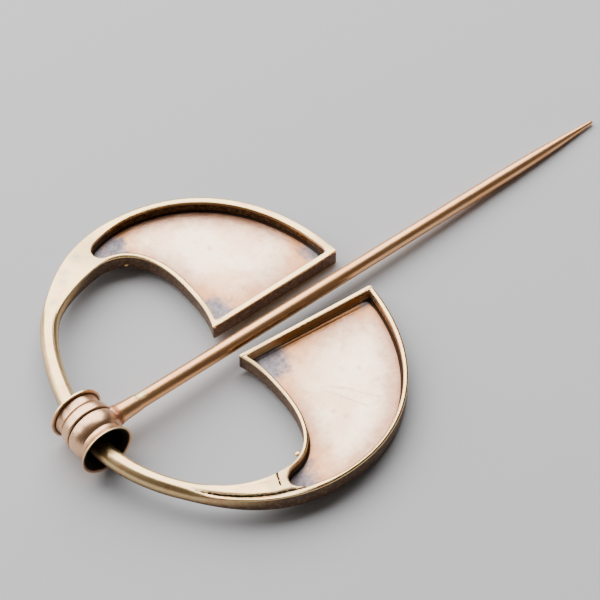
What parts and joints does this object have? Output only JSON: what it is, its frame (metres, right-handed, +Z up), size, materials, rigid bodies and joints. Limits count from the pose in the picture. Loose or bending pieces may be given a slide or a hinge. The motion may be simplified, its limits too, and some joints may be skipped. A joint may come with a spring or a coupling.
{
  "type": "ring brooch",
  "caption": "Cast bronze ring brooch: an open oval hoop ending in two hollow trays, and a long tapering pin whose flared barrel head swings freely on the hoop.",
  "frame": {"origin": "on the ground, under the middle of the lying brooch's bounding box", "axes": "+X along the pin toward its tip, +Y toward the far tray, +Z up as the brooch lies"},
  "size_m": [0.1282, 0.0752, 0.0108],
  "materials": {
    "hoop_bronze": "polished pale yellow rims, satin pinkish recess floors with dark patina in their corners",
    "pin_bronze": "satin, brushed lengthwise, redder at the seam between head and shank"
  },
  "bodies": {
    "hoop": {"hoop": "hoop_bronze"},
    "pin": {"pin": "pin_bronze"}
  },
  "joints": [
    {"name": "pin_swing", "type": "hinge", "parent": "hoop", "child": "pin", "pos_m": [-0.05848, -0.00215, 0.0054], "axis": [0.034, -0.9994, 0], "continuous": true}
  ]
}
